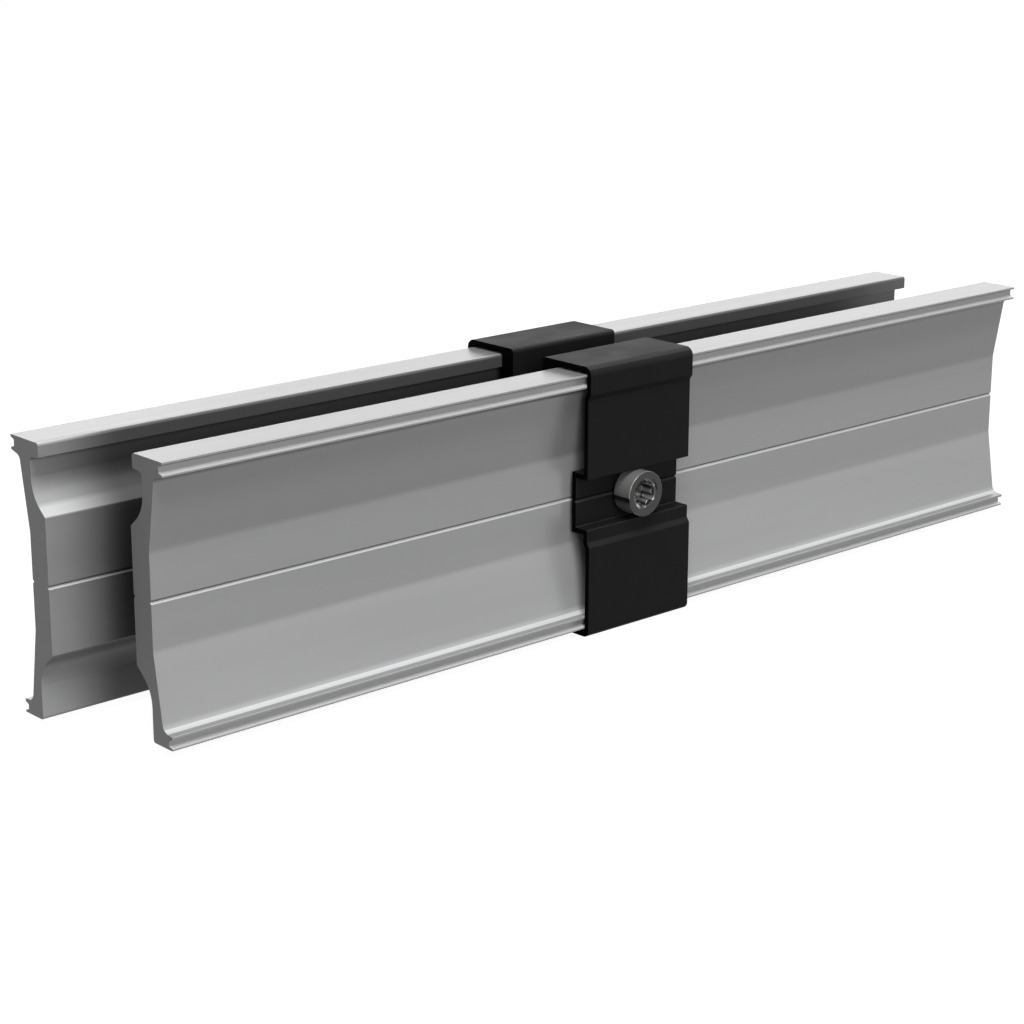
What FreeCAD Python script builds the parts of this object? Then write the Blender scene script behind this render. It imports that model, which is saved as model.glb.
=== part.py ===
import FreeCAD, Part
import math
import os

# A splice for solar mounting rails. Two bars of extruded aluminium stand side by side, each
# through a black collar. The rails slide over the bars' ends and butt on the collars. One screw,
# threaded in the front bar and held by its turned-down tip in the rear bar, spreads the halves
# until the bars' lips press on the rails' inner walls.
# X runs along the bars, Y from the screw head's side to the far side, Z up.
# Sections are drawn as (depth, height) points: depth counts inward from the plane of a bar's
# lips, height from the screw's axis.

# bars, millimetres
bar_length = 254.0
bar_height = 56.4
pair_width = 36.8
bar_shift = 4.75
flange_width = 9.75
flange_edge = 2.95
flange_slope = 0.3
foot_width = 6.35
upper_web_depth = 6.7
pad_depth = 11.05
pad_height = 27.7
ramp_slope = 50.0
ramp_radius = 7.25
waist_depth = 5.3
waist_height = 19.6
shoulder_depth = 2.85
head_shoulder_drop = 3.75
head_shoulder_radius = 1.3
foot_shoulder_drop = 3.05
foot_shoulder_radius = 1.8
crease_radius = 6.0
lip_reach = 1.1
lip_taper = 0.37
head_end_lip = 0.5
head_lip_groove = 2.05
head_inner_lip = 0.42
foot_end_lip = 0.4
foot_lip_groove = 1.8
foot_inner_lip = 0.6
bar_edge_radius = 0.6
root_radius = 0.8
pad_edge_radius = 0.4
lip_edge_radius = 0.1
lip_root_radius = 0.2

# guide groove, along the bars and the collars
groove_depth = 0.45
groove_width = 0.9

# collars
collar_length = 30.7
collar_wall = 1.15
lip_gap = 0.2
bar_gap = 0.6
inner_gap = 0.4
pad_gap = 0.3
collar_spacing = 9.5
jog_step = 0.72
jog_rise = 1.05
upper_jog_drop = 6.05
lower_jog_drop = 20.3
recess_depth = 3.58
recess_top = 5.25
recess_bottom = 5.85
recess_edge_radius = 0.15
jog_radius = 0.4
upper_fold_radius = 1.9
lower_fold_radius = 1.5
inner_corner_radius = 0.9

# screw and its retaining ring
screw_diameter = 6.0
head_diameter = 10.0
head_height = 5.0
head_bevel = 0.35
spread_travel = 0.85
travel_stop = 0.04
tip_diameter = 4.5
tip_past_ring = 0.8
tip_bevel = 0.5
ring_diameter = 9.0
ring_thickness = 0.6
end_play = 0.1
running_gap = 0.05
clearance_hole = 6.6

# six-lobed drive recess
drive_across = 6.2
drive_waist = 4.4
drive_lobe_radius = 0.5
drive_depth = 3.6
drive_rim = 0.55
drive_rim_angle = 120.0
drive_cone = 0.7

# worked out from the sizes above
half_width = pair_width / 2
half_height = bar_height / 2
collar_outside = -lip_gap - collar_wall
collar_waist = collar_outside + jog_step
band_depth = collar_waist + recess_depth
collar_half_height = half_height + bar_gap + collar_wall
collar_inside = half_width - collar_spacing / 2
head_base = band_depth - half_width - travel_stop - spread_travel
head_face = head_base - head_height
rear_web_inside = half_width - pad_depth
rear_web_outside = half_width - waist_depth
ring_start = rear_web_outside + end_play
screw_end = ring_start + ring_thickness + tip_past_ring
row_middle = (head_face + half_width - collar_outside) / 2

x_axis = FreeCAD.Vector(1, 0, 0)
y_axis = FreeCAD.Vector(0, 1, 0)
z_axis = FreeCAD.Vector(0, 0, 1)
screw_axis_point = FreeCAD.Vector(0, 0, 0)


def rounded_outline(corners):
    # a closed wire through (depth, height, radius) corners, each rounded to its radius
    points = [FreeCAD.Vector(0, depth - half_width, height) for depth, height, _ in corners]
    starts = []
    ends = []
    arcs = []
    for index, (_, _, radius) in enumerate(corners):
        here = points[index]
        back = (points[index - 1] - here).normalize()
        ahead = (points[(index + 1) % len(points)] - here).normalize()
        if radius == 0:
            starts.append(here)
            ends.append(here)
            arcs.append(None)
            continue
        half_angle = back.getAngle(ahead) / 2
        reach = radius / math.tan(half_angle)
        to_centre = (back + ahead).normalize()
        top = here + to_centre * (radius / math.sin(half_angle) - radius)
        starts.append(here + back * reach)
        ends.append(here + ahead * reach)
        arcs.append(Part.Arc(starts[-1], top, ends[-1]).toShape())
    edges = []
    for index, arc in enumerate(arcs):
        if arc is not None:
            edges.append(arc)
        following = (index + 1) % len(arcs)
        edges.append(Part.makeLine(ends[index], starts[following]))
    return Part.Wire(edges)


def prism(corners, start, length):
    face = Part.Face(rounded_outline(corners))
    solid = face.extrude(x_axis * length)
    solid.translate(x_axis * start)
    return solid


def groove_corners(depth, cut):
    # the V of the guide groove, read downward; cut is its signed depth
    return [
        (depth, groove_width / 2, 0),
        (depth + cut, 0, 0),
        (depth, -groove_width / 2, 0),
    ]


def lip_corners(side, drop, radius, end_lip, groove, inner_lip):
    # a flange's outer edge, read away from the middle; side is 1 at the head and -1 at the foot
    # both lips thin out towards their tips, so the groove between them narrows inward
    groove_end = half_height - end_lip
    groove_start = groove_end - groove
    return [
        (shoulder_depth, side * (half_height - drop), radius),
        (0, side * (groove_start - inner_lip), lip_edge_radius),
        (0, side * groove_start, lip_edge_radius),
        (lip_reach, side * (groove_start + lip_taper), lip_root_radius),
        (lip_reach, side * (groove_end - lip_taper), lip_root_radius),
        (0, side * groove_end, lip_edge_radius),
        (0, side * half_height, lip_edge_radius),
    ]


def bar_section():
    ramp_run = 1 / math.tan(math.radians(ramp_slope))
    upper_ramp = pad_height / 2 + (pad_depth - upper_web_depth) * ramp_run
    lower_ramp = pad_height / 2 + (pad_depth - foot_width) * ramp_run
    flange_root = half_height - flange_edge - flange_slope
    inner_side = [
        (flange_width, half_height, bar_edge_radius),
        (flange_width, half_height - flange_edge, lip_root_radius),
        (upper_web_depth, flange_root, root_radius),
        (upper_web_depth, upper_ramp, ramp_radius),
        (pad_depth, pad_height / 2, pad_edge_radius),
        *groove_corners(pad_depth, -groove_depth),
        (pad_depth, -pad_height / 2, pad_edge_radius),
        (foot_width, -lower_ramp, ramp_radius),
        (foot_width, -half_height, bar_edge_radius),
    ]
    head_lips = lip_corners(1, head_shoulder_drop, head_shoulder_radius,
                            head_end_lip, head_lip_groove, head_inner_lip)
    foot_lips = lip_corners(-1, foot_shoulder_drop, foot_shoulder_radius,
                            foot_end_lip, foot_lip_groove, foot_inner_lip)
    outer_side = [
        *reversed(foot_lips),
        (waist_depth, -waist_height / 2, crease_radius),
        *reversed(groove_corners(waist_depth, groove_depth)),
        (waist_depth, waist_height / 2, crease_radius),
        *head_lips,
    ]
    return inner_side + outer_side


def collar_outline():
    upper_jog = collar_half_height - upper_jog_drop
    lower_jog = -collar_half_height + lower_jog_drop
    inner_face = collar_inside
    return [
        (inner_face, collar_half_height, inner_corner_radius),
        (collar_outside, collar_half_height, upper_fold_radius),
        (collar_outside, upper_jog, jog_radius),
        (collar_waist, upper_jog - jog_rise, jog_radius),
        (collar_waist, recess_top, recess_edge_radius),
        (band_depth, recess_top, recess_edge_radius),
        *groove_corners(band_depth, groove_depth),
        (band_depth, -recess_bottom, recess_edge_radius),
        (collar_waist, -recess_bottom, recess_edge_radius),
        (collar_waist, lower_jog + jog_rise, jog_radius),
        (collar_outside, lower_jog, jog_radius),
        (collar_outside, -collar_half_height, lower_fold_radius),
        (inner_face, -collar_half_height, inner_corner_radius),
    ]


def collar_cavity():
    # the outline's inner side, one wall further in; the inner wall follows the bar's own back
    top = half_height + bar_gap
    skin = collar_outside + collar_wall
    waist_skin = collar_waist + collar_wall
    band_skin = band_depth + collar_wall
    bend_shift = collar_wall * math.tan(math.atan(jog_step / jog_rise) / 2)
    upper_jog = collar_half_height - upper_jog_drop + bend_shift
    lower_jog = -collar_half_height + lower_jog_drop - bend_shift
    end_wall = flange_width + inner_gap
    pad_wall = pad_depth + pad_gap
    pad_wall_height = pad_height / 2 + (pad_wall - end_wall)
    return [
        (end_wall, top, inner_corner_radius),
        (skin, top, upper_fold_radius - collar_wall),
        (skin, upper_jog, jog_radius),
        (waist_skin, upper_jog - jog_rise, jog_radius),
        (waist_skin, recess_top + collar_wall, recess_edge_radius),
        (band_skin, recess_top + collar_wall, recess_edge_radius),
        (band_skin, -recess_bottom - collar_wall, recess_edge_radius),
        (waist_skin, -recess_bottom - collar_wall, recess_edge_radius),
        (waist_skin, lower_jog + jog_rise, jog_radius),
        (skin, lower_jog, jog_radius),
        (skin, -top, lower_fold_radius - collar_wall),
        (end_wall, -top, inner_corner_radius),
        (end_wall, -pad_wall_height - (pad_wall - end_wall), jog_radius),
        (pad_wall, -pad_wall_height, jog_radius),
        (pad_wall, pad_wall_height, jog_radius),
        (end_wall, pad_wall_height + (pad_wall - end_wall), jog_radius),
    ]


def cross_hole(diameter):
    # a hole on the screw's axis that reaches through one half
    return Part.makeCylinder(diameter / 2, pair_width, y_axis * -pair_width, y_axis)


def make_bar(hole_diameter):
    start = bar_shift - bar_length / 2
    bar = prism(bar_section(), start, bar_length)
    return bar.cut(cross_hole(hole_diameter))


def make_collar():
    start = -collar_length / 2
    outside = prism(collar_outline(), start, collar_length)
    inside = prism(collar_cavity(), start, collar_length)
    return outside.cut(inside).cut(cross_hole(clearance_hole))


def turned(profile):
    # a solid of revolution about the screw's axis, from (place along Y, radius) points
    points = [FreeCAD.Vector(0, along, radius) for along, radius in profile]
    face = Part.Face(Part.makePolygon(points + [points[0]]))
    return face.revolve(screw_axis_point, y_axis, 360)


def drive_outline(place):
    # six lobes and six hollows, arcs that meet tangent to each other
    lobe_centre = drive_across / 2 - drive_lobe_radius
    waist = drive_waist / 2
    cos_half = math.cos(math.radians(30))
    top = drive_lobe_radius ** 2 - lobe_centre ** 2 - waist ** 2 + 2 * lobe_centre * waist * cos_half
    hollow_radius = top / (2 * (waist - lobe_centre * cos_half - drive_lobe_radius))
    hollow_centre = waist + hollow_radius

    def at(radius, degrees):
        angle = math.radians(degrees)
        return FreeCAD.Vector(radius * math.sin(angle), place, radius * math.cos(angle))

    def meeting(lobe, hollow):
        first = at(lobe_centre, lobe)
        second = at(hollow_centre, hollow)
        share = drive_lobe_radius / (drive_lobe_radius + hollow_radius)
        return first + (second - first) * share

    edges = []
    for lobe in range(0, 360, 60):
        before = meeting(lobe, lobe - 30)
        after = meeting(lobe, lobe + 30)
        beyond = meeting(lobe + 60, lobe + 30)
        edges.append(Part.Arc(before, at(drive_across / 2, lobe), after).toShape())
        edges.append(Part.Arc(after, at(waist, lobe + 30), beyond).toShape())
    return Part.Wire(edges)


def drive_recess():
    lobes = Part.Face(drive_outline(head_face)).extrude(y_axis * drive_depth)
    rim_radius = drive_across / 2 + drive_rim
    rim_reach = rim_radius / math.tan(math.radians(drive_rim_angle / 2))
    rim = turned([(head_face, 0), (head_face, rim_radius), (head_face + rim_reach, 0)])
    floor = head_face + drive_depth
    cone = turned([(floor, 0), (floor, drive_waist / 2), (floor + drive_cone, 0)])
    return lobes.fuse(rim).fuse(cone)


def make_screw():
    head_radius = head_diameter / 2
    shank_radius = screw_diameter / 2
    tip_radius = tip_diameter / 2
    shoulder = rear_web_inside - end_play
    body = turned([
        (head_face, 0),
        (head_face, head_radius - head_bevel),
        (head_face + head_bevel, head_radius),
        (head_base, head_radius),
        (head_base, shank_radius),
        (shoulder, shank_radius),
        (shoulder, tip_radius),
        (screw_end - tip_bevel, tip_radius),
        (screw_end, tip_radius - tip_bevel),
        (screw_end, 0),
    ])
    return body.cut(drive_recess())


def make_retaining_ring():
    ring_end = ring_start + ring_thickness
    return turned([
        (ring_start, tip_diameter / 2),
        (ring_start, ring_diameter / 2),
        (ring_end, ring_diameter / 2),
        (ring_end, tip_diameter / 2),
    ])


def half_turned(shape):
    # the rear half is the front one turned half way round the upright axis
    shape.rotate(screw_axis_point, z_axis, 180)
    return shape


def export(name, shape):
    # the row stands on the collars' undersides, over the middle of its outline on the floor
    shape.translate(FreeCAD.Vector(0, -row_middle, collar_half_height))
    shape = shape.removeSplitter()
    shape.exportStep(os.path.join("parts", name + ".step"))


os.makedirs("parts", exist_ok=True)
export("bar_front", make_bar(screw_diameter + 2 * running_gap))
export("bar_rear", half_turned(make_bar(tip_diameter + 2 * running_gap)))
export("collar_front", make_collar())
export("collar_rear", half_turned(make_collar()))
export("spread_screw", make_screw())
export("retaining_ring", make_retaining_ring())
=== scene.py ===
import bpy
import bmesh
import math
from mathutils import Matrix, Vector


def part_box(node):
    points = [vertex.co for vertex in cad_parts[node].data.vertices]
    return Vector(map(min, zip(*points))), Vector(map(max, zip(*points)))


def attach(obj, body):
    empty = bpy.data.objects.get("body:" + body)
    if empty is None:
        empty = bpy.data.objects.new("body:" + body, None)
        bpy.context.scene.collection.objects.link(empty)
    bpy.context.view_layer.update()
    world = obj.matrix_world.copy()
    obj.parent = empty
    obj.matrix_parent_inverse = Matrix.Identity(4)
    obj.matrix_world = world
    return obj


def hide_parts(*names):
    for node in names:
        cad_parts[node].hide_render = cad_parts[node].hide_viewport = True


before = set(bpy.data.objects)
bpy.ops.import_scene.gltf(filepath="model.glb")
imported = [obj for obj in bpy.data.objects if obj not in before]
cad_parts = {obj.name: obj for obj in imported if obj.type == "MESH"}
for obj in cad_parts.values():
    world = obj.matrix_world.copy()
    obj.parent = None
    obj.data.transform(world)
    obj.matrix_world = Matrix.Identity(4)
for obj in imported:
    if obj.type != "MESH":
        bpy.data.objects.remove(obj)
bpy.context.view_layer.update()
print("frame loaded, nodes:", ", ".join(sorted(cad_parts)))

millimetre = 0.001
screwLow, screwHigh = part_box("spread_screw")
screwAxisHeight = (screwLow.z + screwHigh.z) / 2


# shader helpers: a value given to a socket is either another socket or a plain number, colour or vector

def feed(tree, socket, value):
    if isinstance(value, bpy.types.NodeSocket):
        tree.links.new(value, socket)
    else:
        socket.default_value = value


def addNode(tree, kind, **inputs):
    node = tree.nodes.new(kind)
    for name, value in inputs.items():
        feed(tree, node.inputs[name.replace("_", " ")], value)
    return node


def addMix(tree, factor, low, high):
    mix = tree.nodes.new("ShaderNodeMix")
    mix.data_type = "RGBA"
    for index, value in ((0, factor), (6, low), (7, high)):  # the colour sockets of this node
        feed(tree, mix.inputs[index], value)
    return mix.outputs[2]


def addMath(tree, operation, first, second=0.0):
    node = tree.nodes.new("ShaderNodeMath")
    node.operation = operation
    feed(tree, node.inputs[0], first)
    feed(tree, node.inputs[1], second)
    return node.outputs[0]


def addVectorMath(tree, operation, first, second=None):
    node = tree.nodes.new("ShaderNodeVectorMath")
    node.operation = operation
    feed(tree, node.inputs[0], first)
    if second is not None:
        feed(tree, node.inputs["Scale"] if operation == "SCALE" else node.inputs[1], second)
    return node.outputs["Value" if operation in ("LENGTH", "DOT_PRODUCT") else "Vector"]


def addRange(tree, value, low, high, fromLow=0.0, fromHigh=1.0):
    node = addNode(tree, "ShaderNodeMapRange", Value=value, From_Min=fromLow, From_Max=fromHigh,
                   To_Min=low, To_Max=high)
    return node.outputs["Result"]


def addParts(tree, vector):
    return addNode(tree, "ShaderNodeSeparateXYZ", Vector=vector).outputs


def addVector(tree, **parts):
    return addNode(tree, "ShaderNodeCombineXYZ", **parts).outputs["Vector"]


def addCurve(tree, value, stops, most=1.0):
    # straight lines between stops, for values from -1 to 1 and levels up to most
    ramp = tree.nodes.new("ShaderNodeValToRGB")
    for index, (position, level) in enumerate(stops):
        place = (position + 1) / 2
        stop = ramp.color_ramp.elements[index] if index < 2 else ramp.color_ramp.elements.new(place)
        stop.position = place
        stop.color = (level / most, level / most, level / most, 1)
    feed(tree, ramp.inputs["Fac"], addRange(tree, value, 0.0, 1.0, -1.0, 1.0))
    return addMath(tree, "MULTIPLY", ramp.outputs["Color"], most)


def addBump(tree, shader, height, strength, depth):
    bump = addNode(tree, "ShaderNodeBump", Height=height, Strength=strength, Distance=depth)
    tree.links.new(bump.outputs["Normal"], shader.inputs["Normal"])


def newMaterial(name):
    material = bpy.data.materials.new(name)
    material.use_nodes = True
    tree = material.node_tree
    tree.nodes.clear()
    output = tree.nodes.new("ShaderNodeOutputMaterial")
    shader = tree.nodes.new("ShaderNodeBsdfPrincipled")
    tree.links.new(shader.outputs["BSDF"], output.inputs["Surface"])
    return material, tree, shader


def newGroup(name, inputs, outputs):
    tree = bpy.data.node_groups.new(name, "ShaderNodeTree")
    for label, kind, value in inputs:
        socket = tree.interface.new_socket(label, in_out="INPUT", socket_type=kind)
        if value is not None:
            socket.default_value = value
    for label in outputs:
        tree.interface.new_socket(label, in_out="OUTPUT", socket_type="NodeSocketFloat")
    return tree, tree.nodes.new("NodeGroupInput").outputs, tree.nodes.new("NodeGroupOutput").inputs


def placeGroup(tree, group, **values):
    node = tree.nodes.new("ShaderNodeGroup")
    node.node_tree = group
    for name, value in values.items():
        feed(tree, node.inputs[name.replace("_", " ")], value)
    return node.outputs


# surface effects that the finishes share. Widths and lengths of a pattern are in millimetres

noiseSpan = (0.3, 0.7)  # where nearly all of a noise's values lie


def makeStreakGroup():
    # fine lines that run along X, as a die or a file leaves them, with a slower drift under them
    tree, given, result = newGroup(
        "streaks",
        [("Vector", "NodeSocketVector", None), ("Line Width", "NodeSocketFloat", 0.3),
         ("Line Length", "NodeSocketFloat", 60.0), ("Drift Width", "NodeSocketFloat", 4.0)],
        ["Lines", "Drift"])
    for label, width, detail in (("Lines", "Line Width", 3.0), ("Drift", "Drift Width", 1.0)):
        across = addMath(tree, "DIVIDE", 1000.0, given[width])
        along = addMath(tree, "DIVIDE", 1000.0, given["Line Length"])
        stretched = addVectorMath(tree, "MULTIPLY", given["Vector"], addVector(tree, X=along, Y=across, Z=across))
        noise = addNode(tree, "ShaderNodeTexNoise", Vector=stretched, Scale=1.0, Detail=detail, Roughness=0.55)
        tree.links.new(noise.outputs["Fac"], result[label])
    return tree


def makeSpeckGroup():
    # even grain of a blasted or coated surface, with a slower mottling
    tree, given, result = newGroup(
        "specks",
        [("Vector", "NodeSocketVector", None), ("Grain", "NodeSocketFloat", 0.25),
         ("Mottle", "NodeSocketFloat", 8.0)],
        ["Specks", "Clouds"])
    for label, width, detail in (("Specks", "Grain", 2.0), ("Clouds", "Mottle", 3.0)):
        noise = addNode(tree, "ShaderNodeTexNoise", Vector=given["Vector"], Detail=detail, Roughness=0.6,
                        Scale=addMath(tree, "DIVIDE", 1000.0, given[width]))
        tree.links.new(noise.outputs["Fac"], result[label])
    return tree


# these stops give painted light and shade by the Z part of the normal: darker on faces that tilt down,
# lighter on slopes, lips and groove edges that tilt up, plain again on level faces
facingSettings = {
    "paintedTiltLightStops": ((-0.7, 0.3), (-0.35, 0.6), (-0.165, 0.81), (0.0, 1.05), (0.165, 1.32), (0.45, 1.48),
                  (0.66, 1.52), (0.72, 2.45), (0.975, 2.45), (0.998, 1.0)),
    "paintedTiltLightMost": 2.5,
    "endNormal": (0.85, 0.95),
    "inwardNormal": (-0.5, -0.25),
    "openEnd": -131 * millimetre,
    "deepInside": -112.5 * millimetre,
    "lightStarts": 42 * millimetre,
    "lightFull": 52 * millimetre,
    "paintedShadeAtTop": 0.8,
}


def makeFacingGroup(settings):
    # Ends: faces that look along X, where a profile was cut to length
    # Painted tilt light: painted light and shade from the stops, by how far a face tilts up or down
    # Painted channel shade: painted shade on sides that look across the gap between the bars, in from the open end
    # at low X, and less near the top, where light falls in
    tree, given, result = newGroup(
        "facing",
        [("Vector", "NodeSocketVector", None), ("Normal", "NodeSocketVector", None),
         ("Open End", "NodeSocketFloat", settings["openEnd"]),
         ("Deep Inside", "NodeSocketFloat", settings["deepInside"])],
        ["Ends", "Painted Tilt Light", "Painted Channel Shade"])
    place = addParts(tree, given["Vector"])
    normal = addParts(tree, given["Normal"])
    endways = addMath(tree, "ABSOLUTE", normal["X"])
    tree.links.new(addRange(tree, endways, 0.0, 1.0, *settings["endNormal"]), result["Ends"])
    tree.links.new(addCurve(tree, normal["Z"], settings["paintedTiltLightStops"], settings["paintedTiltLightMost"]), result["Painted Tilt Light"])
    outward = addMath(tree, "MULTIPLY", addMath(tree, "SIGN", place["Y"]), normal["Y"])
    inward = addRange(tree, outward, 1.0, 0.0, *settings["inwardNormal"])
    depth = addNode(tree, "ShaderNodeMapRange", Value=place["X"], From_Min=given["Open End"],
                    From_Max=given["Deep Inside"], To_Min=0.0, To_Max=1.0)
    depth.interpolation_type = "SMOOTHSTEP"
    under = addRange(tree, place["Z"], 1.0, settings["paintedShadeAtTop"], settings["lightStarts"], settings["lightFull"])
    paintedChannelShade = addMath(tree, "MULTIPLY", inward, depth.outputs["Result"])
    tree.links.new(addMath(tree, "MULTIPLY", paintedChannelShade, under), result["Painted Channel Shade"])
    return tree


streakGroup = makeStreakGroup()
speckGroup = makeSpeckGroup()
facingGroup = makeFacingGroup(facingSettings)
print("shared surface effects made")


# bars: extruded aluminium, with a satin skin drawn along X and plainly sawn ends, whose colour is darkened as
# painted shade

barFinish = {
    "skinDark": (0.345, 0.347, 0.35, 1),
    "skinLight": (0.385, 0.387, 0.39, 1),
    # painted shade: near-black colour for the bars' inner sides, deep in the gap between them
    "paintedChannelShade": (0.033, 0.033, 0.033, 1),
    # the sawn ends keep real saw lines between these two tones, which are made darker than the skin as painted
    # shade
    "sawnShadedDark": (0.14, 0.14, 0.14, 1),
    "sawnShadedLight": (0.165, 0.165, 0.165, 1),
    "metallic": 0.1,
    "skinRoughness": (0.3, 0.38),
    "sawnRoughness": 0.5,
    "skinLines": {"Line_Width": 0.35, "Line_Length": 90.0, "Drift_Width": 5.0},
    "sawLines": {"Line_Width": 0.5, "Line_Length": 30.0, "Drift_Width": 6.0},
    "sawTurn": (0, math.radians(82), math.radians(90)),
    "lineStrength": 0.6,
    "lineDepth": 0.01 * millimetre,
}


def makeBarMaterial(finish):
    material, tree, shader = newMaterial("satinAluminium")
    place = tree.nodes.new("ShaderNodeTexCoord").outputs
    sawn = addNode(tree, "ShaderNodeMapping", Vector=place["Object"], Rotation=finish["sawTurn"])
    skinLines = placeGroup(tree, streakGroup, Vector=place["Object"], **finish["skinLines"])
    sawLines = placeGroup(tree, streakGroup, Vector=sawn.outputs["Vector"], **finish["sawLines"])
    facing = placeGroup(tree, facingGroup, Vector=place["Object"], Normal=place["Normal"])
    ends = facing["Ends"]
    notEnds = addMath(tree, "SUBTRACT", 1.0, ends)

    skinColour = addMix(tree, skinLines["Drift"], finish["skinDark"], finish["skinLight"])
    # painted shade on the inner sides, in the gap between the bars
    skinColour = addMix(tree, facing["Painted Channel Shade"], skinColour, finish["paintedChannelShade"])
    # painted light and shade by tilt: lighter on up-facing slopes and lips, darker on down-facing bands
    skinColour = addVectorMath(tree, "SCALE", skinColour, facing["Painted Tilt Light"])
    sawnShadedColour = addMix(tree, sawLines["Lines"], finish["sawnShadedDark"], finish["sawnShadedLight"])
    tree.links.new(addMix(tree, ends, skinColour, sawnShadedColour), shader.inputs["Base Color"])

    skinRoughness = addRange(tree, skinLines["Lines"], *finish["skinRoughness"], *noiseSpan)
    roughness = addMath(tree, "ADD", addMath(tree, "MULTIPLY", ends, finish["sawnRoughness"]),
                        addMath(tree, "MULTIPLY", notEnds, skinRoughness))
    tree.links.new(roughness, shader.inputs["Roughness"])

    height = addMath(tree, "ADD", addMath(tree, "MULTIPLY", notEnds, skinLines["Lines"]),
                     addMath(tree, "MULTIPLY", ends, sawLines["Lines"]))
    addBump(tree, shader, height, finish["lineStrength"], finish["lineDepth"])
    shader.inputs["Metallic"].default_value = finish["metallic"]
    return material


# collars: matt black coating over a thin wall, darker on the cut ends

collarFinish = {
    "coatDark": (0.0125, 0.0125, 0.0129, 1),
    "coatLight": (0.0175, 0.0175, 0.018, 1),
    "cutEdge": (0.001, 0.001, 0.001, 1),
    "roughness": (0.42, 0.52),
    "cutRoughness": 0.4,  # added to the coat's
    "specular": 0.025,
    "paintedTiltLightPower": 1.7,
    "grain": {"Grain": 0.3, "Mottle": 9.0},
    "grainStrength": 0.5,
    "grainDepth": 0.012 * millimetre,
}


def makeCollarMaterial(finish):
    material, tree, shader = newMaterial("mattBlackCoat")
    place = tree.nodes.new("ShaderNodeTexCoord").outputs
    grain = placeGroup(tree, speckGroup, Vector=place["Object"], **finish["grain"])
    facing = placeGroup(tree, facingGroup, Vector=place["Object"], Normal=place["Normal"])
    # painted light and shade by tilt, made stronger on the black coat
    paintedTiltLight = addMath(tree, "POWER", facing["Painted Tilt Light"], finish["paintedTiltLightPower"])
    coat = addMix(tree, grain["Clouds"], finish["coatDark"], finish["coatLight"])
    coat = addVectorMath(tree, "SCALE", coat, paintedTiltLight)
    tree.links.new(addMix(tree, facing["Ends"], coat, finish["cutEdge"]), shader.inputs["Base Color"])
    roughness = addMath(tree, "ADD", addRange(tree, grain["Clouds"], *finish["roughness"], *noiseSpan),
                        addMath(tree, "MULTIPLY", facing["Ends"], finish["cutRoughness"]))
    tree.links.new(roughness, shader.inputs["Roughness"])
    addBump(tree, shader, grain["Specks"], finish["grainStrength"], finish["grainDepth"])
    shader.inputs["Specular IOR Level"].default_value = finish["specular"]
    return material


# screw and ring: bright steel with fine turning marks round the screw's axis

# the side curve paints light and shade by the Z part of the normal, lighter above and black just below the middle,
# and the recess curve goes from painted shade on the recess's flanks at 0 to painted light on its walls at 1, by
# radius as a share of recessRadius
screwFinish = {
    "dark": (0.42, 0.415, 0.405, 1),
    "light": (0.5, 0.495, 0.485, 1),
    "paintedSideLightCurve": ((-1.0, 0.7), (-0.45, 0.55), (-0.27, 0.3), (-0.22, 0.06), (-0.06, 0.06), (-0.02, 0.7),
                  (0.3, 0.8), (0.8, 1.0)),
    "faceNormal": (-0.7, -0.85),
    # painted shade darkens the head's flat face, and edges that turn towards the glint keep a painted highlight
    "paintedFaceShade": 0.115,
    "glint": Vector((0.94, 0, 0.34)),  # edges of the face that turn this way stay bright
    "glintNormal": (0.36, 0.44),
    # painted light on the recess's walls and painted shade on its flanks
    "recessPaintedLitWalls": (0.75, 0.745, 0.735, 1),
    "recessPaintedShadeFlanks": (0.07, 0.07, 0.069, 1),
    "paintedRecessLightCurve": ((-1.0, 1.0), (0.68, 1.0), (0.77, 0.0), (0.9, 0.0), (0.95, 1.0)),
    "recessRadius": 3.15 * millimetre,
    "recessEdge": 0.05 * millimetre,
    "recessReach": 4.2 * millimetre,
    "recessFade": 0.1 * millimetre,
    "metallic": 0.5,
    "recessMetallic": 0.65,
    "roughness": (0.16, 0.24),
    "grain": {"Grain": 0.3, "Mottle": 3.0},
    "turningPitch": 0.12,
    "turningStrength": 0.5,
    "turningDepth": 0.002 * millimetre,
}


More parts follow.
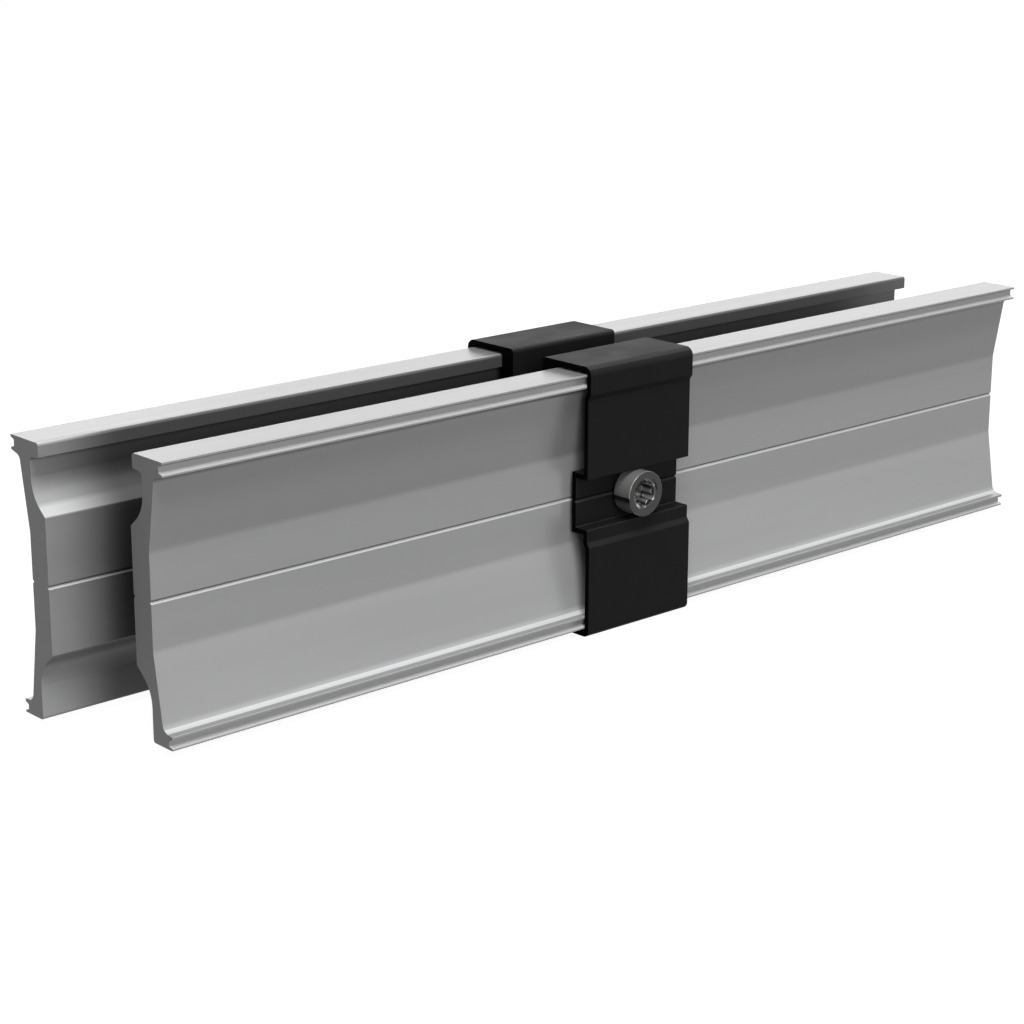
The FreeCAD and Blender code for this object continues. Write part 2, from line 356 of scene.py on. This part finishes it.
def makeScrewMaterial(finish):
    material, tree, shader = newMaterial("turnedSteel")
    coordinates = tree.nodes.new("ShaderNodeTexCoord").outputs
    centred = addNode(tree, "ShaderNodeMapping", Vector=coordinates["Object"], Location=(0, 0, -screwAxisHeight))
    place = addParts(tree, centred.outputs["Vector"])
    normal = addParts(tree, coordinates["Normal"])
    radius = addVectorMath(tree, "LENGTH", addVector(tree, X=place["X"], Y=place["Z"]))

    # in the recess, which is narrow and near the head's face
    narrow = addRange(tree, radius, 1.0, 0.0, finish["recessRadius"], finish["recessRadius"] + finish["recessEdge"])
    deepest = screwLow.y + finish["recessReach"]
    shallow = addRange(tree, place["Y"], 1.0, 0.0, deepest, deepest + finish["recessFade"])
    recess = addMath(tree, "MULTIPLY", narrow, shallow)
    # painted shade on the lobes' flanks and painted light on the recess walls, by radius
    share = addMath(tree, "DIVIDE", radius, finish["recessRadius"])
    walls = addMix(tree, addCurve(tree, share, finish["paintedRecessLightCurve"]), finish["recessPaintedShadeFlanks"], finish["recessPaintedLitWalls"])

    # painted shade on the head's flat face, apart from the edges that glint, which keep a painted highlight
    front = addRange(tree, normal["Y"], 0.0, 1.0, *finish["faceNormal"])
    toGlint = addVectorMath(tree, "DOT_PRODUCT", coordinates["Normal"], finish["glint"])
    plain = addRange(tree, toGlint, 1.0, 0.0, *finish["glintNormal"])
    shade = addRange(tree, addMath(tree, "MULTIPLY", front, plain), 1.0, finish["paintedFaceShade"])

    clouds = placeGroup(tree, speckGroup, Vector=coordinates["Object"], **finish["grain"])["Clouds"]
    steel = addMix(tree, clouds, finish["dark"], finish["light"])
    # painted light and shade by the Z part of the normal: the side lighter above, black just below the middle
    steel = addVectorMath(tree, "SCALE", steel, addCurve(tree, normal["Z"], finish["paintedSideLightCurve"]))
    steel = addMix(tree, recess, steel, walls)
    tree.links.new(addVectorMath(tree, "SCALE", steel, shade), shader.inputs["Base Color"])

    turning = addNode(tree, "ShaderNodeTexNoise", Vector=addVector(tree, X=radius, Y=place["Y"]),
                      Scale=1000 / finish["turningPitch"], Detail=2.0).outputs["Fac"]
    tree.links.new(addRange(tree, turning, *finish["roughness"], *noiseSpan), shader.inputs["Roughness"])
    addBump(tree, shader, turning, finish["turningStrength"], finish["turningDepth"])
    metallic = addRange(tree, recess, finish["metallic"], finish["recessMetallic"])
    tree.links.new(metallic, shader.inputs["Metallic"])
    return material


barMaterial = makeBarMaterial(barFinish)
collarMaterial = makeCollarMaterial(collarFinish)
screwMaterial = makeScrewMaterial(screwFinish)
print("bar, collar and screw finishes made")


def dress(nodeName, material):
    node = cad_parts[nodeName]
    if not node.material_slots:
        node.data.materials.append(material)
    for slot in node.material_slots:
        slot.material = material


for nodeName in ("bar_front", "bar_rear"):
    dress(nodeName, barMaterial)
for nodeName in ("collar_front", "collar_rear"):
    dress(nodeName, collarMaterial)
dress("retaining_ring", screwMaterial)
print("frame nodes dressed")


# the screw again, with a thread and finer edges

screwShape = {
    "headHeight": 5.0 * millimetre,
    "headBevel": 0.1 * millimetre,
    "headBaseBevel": 0.2 * millimetre,
    "rimRadius": 3.6 * millimetre,
    "rimAngle": 120,
    "lobeReach": 3.1 * millimetre,
    "lobeWaist": 2.2 * millimetre,
    "lobeRadius": 0.5 * millimetre,
    "recessDepth": 3.6 * millimetre,
    "recessCone": 0.7 * millimetre,
    "coneShare": 0.9,  # of the lobes' waist
    "neckFillet": 0.25 * millimetre,
    "crestRadius": 3.0 * millimetre,
    "pitch": 1.0 * millimetre,
    "threadDepth": 0.55 * millimetre,
    "threadStart": 1.2 * millimetre,
    "threadStop": 0.5 * millimetre,
    "threadRoot": 0.1 * millimetre,
    "threadSteps": 48,
    "crestShare": 0.065,  # half widths, of the pitch
    "rootShare": 0.424,
    "tipRadius": 2.25 * millimetre,
    "tipLength": 8.15 * millimetre,
    "tipBevel": 0.5 * millimetre,
    "edgeSoftening": 0.05 * millimetre,
    "sharpAngle": 25,
    "segments": 96,
}


def lobedReach(angle, shape):
    # distance from the axis to the six-lobed line: small lobes and large hollows that meet tangent
    waist, lobe = shape["lobeWaist"], shape["lobeRadius"]
    lobeCentre = shape["lobeReach"] - lobe
    cosHalf = math.cos(math.radians(30))
    top = lobe ** 2 - lobeCentre ** 2 - waist ** 2 + 2 * lobeCentre * waist * cosHalf
    hollow = top / (2 * (waist - lobeCentre * cosHalf - lobe))
    hollowCentre = waist + hollow
    share = lobe / (lobe + hollow)
    meetX = lobeCentre + (hollowCentre * cosHalf - lobeCentre) * share
    meetY = hollowCentre * 0.5 * share
    turn = abs((angle + math.radians(30)) % math.radians(60) - math.radians(30))
    if turn < math.atan2(meetY, meetX):
        return lobeCentre * math.cos(turn) + math.sqrt(lobe ** 2 - (lobeCentre * math.sin(turn)) ** 2)
    turn = math.radians(30) - turn
    return hollowCentre * math.cos(turn) - math.sqrt(hollow ** 2 - (hollowCentre * math.sin(turn)) ** 2)


def axisPoint(angle, radius, along):
    return Vector((radius * math.sin(angle), along, screwAxisHeight + radius * math.cos(angle)))


def bridgeRings(mesh, rings):
    for inner, outer in zip(rings, rings[1:]):
        for index in range(len(inner)):
            following = (index + 1) % len(inner)
            mesh.faces.new((inner[index], inner[following], outer[following], outer[index]))


def addThread(mesh, shape, start, stop, coreRadius):
    # one closed ridge wound round the core, rooted a little way in and running out at both ends
    steps, pitch = shape["threadSteps"], shape["pitch"]
    crestWidth, rootWidth = shape["crestShare"] * pitch, shape["rootShare"] * pitch
    total = int((stop - start) / pitch * steps)
    root = coreRadius - shape["threadRoot"]
    rows = []
    for step in range(total + 1):
        angle = step / steps * 2 * math.pi
        along = start + step / steps * pitch
        rise = min(1, step / steps, (total - step) / steps)
        crest = coreRadius + (shape["crestRadius"] - coreRadius) * rise
        corners = ((-rootWidth, root), (-crestWidth, crest), (crestWidth, crest), (rootWidth, root))
        rows.append([mesh.verts.new(axisPoint(angle, radius, along + offset)) for offset, radius in corners])
    bridgeRings(mesh, rows)
    mesh.faces.new(rows[0])
    mesh.faces.new(rows[-1])


def makeScrewBody(shape, material):
    face, end = screwLow.y, screwHigh.y
    headRadius = (screwHigh.x - screwLow.x) / 2
    headBase = face + shape["headHeight"]
    shoulder = end - shape["tipLength"]
    core = shape["crestRadius"] - shape["threadDepth"]
    floor = face + shape["recessDepth"]
    rimSlope = math.tan(math.radians(shape["rimAngle"] / 2))
    sharpAngle = math.radians(shape["sharpAngle"])
    angles = [2 * math.pi * step / shape["segments"] for step in range(shape["segments"])]
    mesh = bmesh.new()

    def circle(radius, along):
        return [mesh.verts.new(axisPoint(angle, radius, along)) for angle in angles]

    recessFloor, recessTop = [], []
    for angle in angles:
        reach = lobedReach(angle, shape)
        recessFloor.append(mesh.verts.new(axisPoint(angle, reach, floor)))
        recessTop.append(mesh.verts.new(axisPoint(angle, reach, face + (shape["rimRadius"] - reach) / rimSlope)))
    rings = [
        circle(shape["lobeWaist"] * shape["coneShare"], floor),
        recessFloor,
        recessTop,
        circle(shape["rimRadius"], face),
        circle(headRadius - shape["headBevel"], face),
        circle(headRadius, face + shape["headBevel"]),
        circle(headRadius, headBase - shape["headBaseBevel"]),
        circle(headRadius - shape["headBaseBevel"], headBase),
        circle(core + shape["neckFillet"], headBase),
        circle(core, headBase + shape["neckFillet"]),
        circle(core, shoulder),
        circle(shape["tipRadius"], shoulder),
        circle(shape["tipRadius"], end - shape["tipBevel"]),
        circle(shape["tipRadius"] - shape["tipBevel"], end),
    ]
    bridgeRings(mesh, rings)
    for ring, along in ((rings[0], floor + shape["recessCone"]), (rings[-1], end)):
        centre = mesh.verts.new(axisPoint(0, 0, along))
        for index in range(len(ring)):
            mesh.faces.new((ring[index], ring[(index + 1) % len(ring)], centre))
    bmesh.ops.recalc_face_normals(mesh, faces=mesh.faces)
    mesh.normal_update()
    # the body's edges are softened and the thread's stay crisp
    weights = mesh.edges.layers.float.new("bevel_weight_edge")
    for edge in mesh.edges:
        edge[weights] = float(edge.calc_face_angle(0) > sharpAngle)
    addThread(mesh, shape, headBase + shape["threadStart"], shoulder - shape["threadStop"], core)
    bmesh.ops.recalc_face_normals(mesh, faces=mesh.faces)
    data = bpy.data.meshes.new("screwBody")
    mesh.to_mesh(data)
    mesh.free()
    data.shade_smooth()
    data.set_sharp_from_angle(angle=sharpAngle)
    data.materials.append(material)
    screw = bpy.data.objects.new("screwBody", data)
    bpy.context.scene.collection.objects.link(screw)
    soften = screw.modifiers.new("soften", "BEVEL")
    soften.width = shape["edgeSoftening"]
    soften.segments = 2
    soften.limit_method = "WEIGHT"
    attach(screw, "screw")
    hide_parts("spread_screw")


makeScrewBody(screwShape, screwMaterial)
print("screw built")


# floor, light and camera

stageSettings = {
    "floorSize": 12.0,
    "floorColour": (0.4, 0.4, 0.4, 1),
    "floorRoughness": 0.9,
    "floorLift": 0.92,  # the floor's own white near the object, which rises to 1 between the next two
    "liftFrom": 0.2,
    "liftFull": 0.7,
    "white": (1, 1, 1, 1),
}

lampAim = (0, 0, 0.03)
lamps = {
    "key": {"place": (-0.35, -0.5, 1.2), "size": (0.6, 0.6), "power": 9.8},
    "left": {"place": (-0.55, -1.1, 0.42), "size": (0.5, 0.4), "power": 4.9},
    "behindRight": {"place": (0.8, 1.0, 0.36), "size": (1.6, 0.4), "power": 3.5},
    "behindLeft": {"place": (0.1, 1.2, 0.4), "size": (1.2, 0.4), "power": 0.95},
}

cameraSettings = {
    "place": (-0.3603, -0.3779, 0.17316),
    "turn": (73.783, -0.107, -41.925),
    "lens": 85.41,
    "sensor": 36,
    "nearest": 0.01,
}


def addSeen(tree):
    # 1 for rays that show the background: straight to the camera, by reflection or through glass
    path = tree.nodes.new("ShaderNodeLightPath").outputs
    seen = addMath(tree, "MAXIMUM", path["Is Camera Ray"], path["Is Glossy Ray"])
    return addMath(tree, "MAXIMUM", seen, path["Is Transmission Ray"])


def makeFloor(settings):
    mesh = bpy.data.meshes.new("floor")
    half = settings["floorSize"] / 2
    mesh.from_pydata([(-half, -half, 0), (half, -half, 0), (half, half, 0), (-half, half, 0)], [], [(0, 1, 2, 3)])
    floor = bpy.data.objects.new("floor", mesh)
    bpy.context.scene.collection.objects.link(floor)
    material, tree, shader = newMaterial("paleFloor")
    shader.inputs["Base Color"].default_value = settings["floorColour"]
    shader.inputs["Roughness"].default_value = settings["floorRoughness"]
    shader.inputs["Specular IOR Level"].default_value = 0.0
    shader.inputs["Emission Color"].default_value = settings["white"]
    # the lamps' light falls off away from the object, so the floor's own white takes over there
    place = tree.nodes.new("ShaderNodeTexCoord").outputs
    lift = addRange(tree, addVectorMath(tree, "LENGTH", place["Object"]), settings["floorLift"], 1.0,
                    settings["liftFrom"], settings["liftFull"])
    tree.links.new(addMath(tree, "MULTIPLY", addSeen(tree), lift), shader.inputs["Emission Strength"])
    mesh.materials.append(material)


def makeSky(settings):
    world = bpy.data.worlds.new("studioSky")
    world.use_nodes = True
    sky = world.node_tree.nodes["Background"]
    sky.inputs["Color"].default_value = settings["white"]
    world.node_tree.links.new(addSeen(world.node_tree), sky.inputs["Strength"])
    bpy.context.scene.world = world


def makeLamp(name, settings):
    light = bpy.data.lights.new(name, "AREA")
    light.shape = "RECTANGLE"
    light.size, light.size_y = settings["size"]
    light.energy = settings["power"]
    lamp = bpy.data.objects.new(name, light)
    lamp.location = settings["place"]
    lamp.rotation_euler = (Vector(lampAim) - lamp.location).to_track_quat("-Z", "Y").to_euler()
    lamp.visible_camera = False
    bpy.context.scene.collection.objects.link(lamp)


def makeCamera(settings):
    data = bpy.data.cameras.new("camera")
    data.sensor_width = settings["sensor"]
    data.lens = settings["lens"]
    data.clip_start = settings["nearest"]
    camera = bpy.data.objects.new("camera", data)
    camera.location = settings["place"]
    camera.rotation_euler = [math.radians(angle) for angle in settings["turn"]]
    bpy.context.scene.collection.objects.link(camera)
    bpy.context.scene.camera = camera


makeFloor(stageSettings)
makeSky(stageSettings)
for lampName, lampSettings in lamps.items():
    makeLamp(lampName, lampSettings)
makeCamera(cameraSettings)
bpy.context.scene.view_settings.view_transform = "Standard"
print("floor, light and camera ready")
